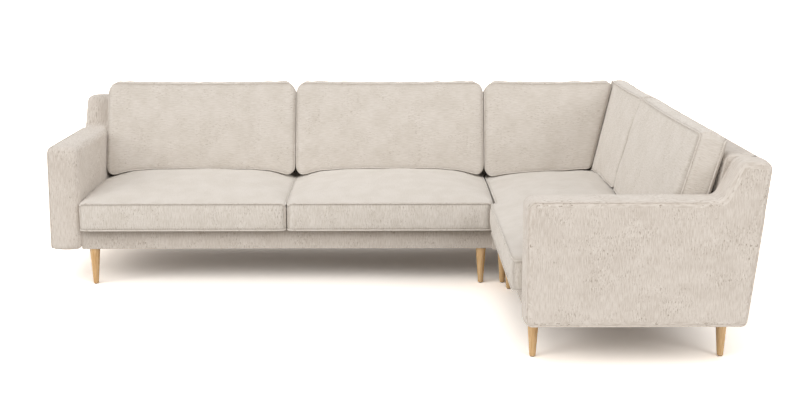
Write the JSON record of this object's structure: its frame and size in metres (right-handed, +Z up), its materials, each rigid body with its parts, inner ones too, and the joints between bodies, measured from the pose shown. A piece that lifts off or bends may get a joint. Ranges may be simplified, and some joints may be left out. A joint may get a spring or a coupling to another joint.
{
  "type": "sectional sofa",
  "caption": "L-shaped sectional sofa with swept-up arms, leaning back cushions, crowned box seat cushions and tapered round wooden legs.",
  "frame": {"origin": "centre of the overall box on the floor", "axes": "+X along the long run towards the return, +Y towards the long run's back, +Z up"},
  "size_m": [2.905, 2.015, 0.8699],
  "materials": {
    "upholstery_fabric": "slubby chenille weave",
    "cushion_fabric": "slubby chenille weave",
    "lining_cloth": "spun-bonded lining",
    "deck_cloth": "plain deck cloth over felt",
    "beech": "clear matt lacquer",
    "pine": "planed, unfinished",
    "plywood": "sanded, unfinished",
    "glide_plastic": "moulded",
    "clip_plastic": "moulded",
    "zinc_steel": "zinc plated"
  },
  "bodies": {
    "root": {"arm_bolts": "zinc_steel", "corner_back_rails": "pine", "corner_back_ribs": "pine", "corner_base_cover": "upholstery_fabric", "corner_deck": "deck_cloth", "corner_dust_cover": "lining_cloth", "corner_leg_blocks": "pine", "corner_long_rails": "pine", "corner_post": "pine", "corner_return_cover": "upholstery_fabric", "corner_run_cover": "upholstery_fabric", "corner_side_rails": "pine", "corner_springs": "zinc_steel", "left_arm_cover": "upholstery_fabric", "left_arm_panels": "plywood", "left_arm_posts": "pine", "left_arm_rails": "pine", "left_back_cover": "upholstery_fabric", "left_back_rails": "pine", "left_back_ribs": "pine", "left_base_cover": "upholstery_fabric", "left_deck": "deck_cloth", "left_dust_cover": "lining_cloth", "left_leg_blocks": "pine", "left_long_rails": "pine", "left_middle_rails": "pine", "left_side_rails": "pine", "left_springs": "zinc_steel", "leg_bolts": "zinc_steel", "leg_glides": "glide_plastic", "legs_corner": "beech", "legs_left": "beech", "legs_right": "beech", "link_screws": "zinc_steel", "link_sockets": "zinc_steel", "link_tongues": "zinc_steel", "right_arm_cover": "upholstery_fabric", "right_arm_panels": "plywood", "right_arm_posts": "pine", "right_arm_rails": "pine", "right_back_cover": "upholstery_fabric", "right_back_rails": "pine", "right_back_ribs": "pine", "right_base_cover": "upholstery_fabric", "right_deck": "deck_cloth", "right_dust_cover": "lining_cloth", "right_leg_blocks": "pine", "right_long_rails": "pine", "right_side_rails": "pine", "right_springs": "zinc_steel", "spring_clips": "clip_plastic", "spring_rails": "pine"},
    "seat_1": {"seat_cushion_1": "cushion_fabric"},
    "seat_2": {"seat_cushion_2": "cushion_fabric"},
    "seat_long": {"seat_cushion_long": "cushion_fabric"},
    "back_1": {"back_cushion_1": "cushion_fabric"},
    "back_2": {"back_cushion_2": "cushion_fabric"},
    "back_corner": {"back_cushion_corner": "cushion_fabric"},
    "back_inner": {"back_cushion_inner": "cushion_fabric"},
    "back_return": {"back_cushion_return": "cushion_fabric"}
  },
  "joints": [
    {"name": "seat_1_lift", "type": "slide", "parent": "root", "child": "seat_1", "axis": [0, 0, 1], "range_m": [0, 0.3]},
    {"name": "seat_2_lift", "type": "slide", "parent": "root", "child": "seat_2", "axis": [0, 0, 1], "range_m": [0, 0.3]},
    {"name": "seat_long_lift", "type": "slide", "parent": "root", "child": "seat_long", "axis": [0, 0, 1], "range_m": [0, 0.3]},
    {"name": "back_1_lift", "type": "slide", "parent": "seat_1", "child": "back_1", "axis": [0, 0.2756, 0.9613], "range_m": [0, 0.4]},
    {"name": "back_2_lift", "type": "slide", "parent": "seat_2", "child": "back_2", "axis": [0, 0.2756, 0.9613], "range_m": [0, 0.4]},
    {"name": "back_corner_lift", "type": "slide", "parent": "seat_long", "child": "back_corner", "axis": [0, 0.2756, 0.9613], "range_m": [0, 0.4]},
    {"name": "back_inner_lift", "type": "slide", "parent": "seat_long", "child": "back_inner", "axis": [0.2756, 0, 0.9613], "range_m": [0, 0.4]},
    {"name": "back_return_lift", "type": "slide", "parent": "seat_long", "child": "back_return", "axis": [0.2756, 0, 0.9613], "range_m": [0, 0.4]}
  ]
}
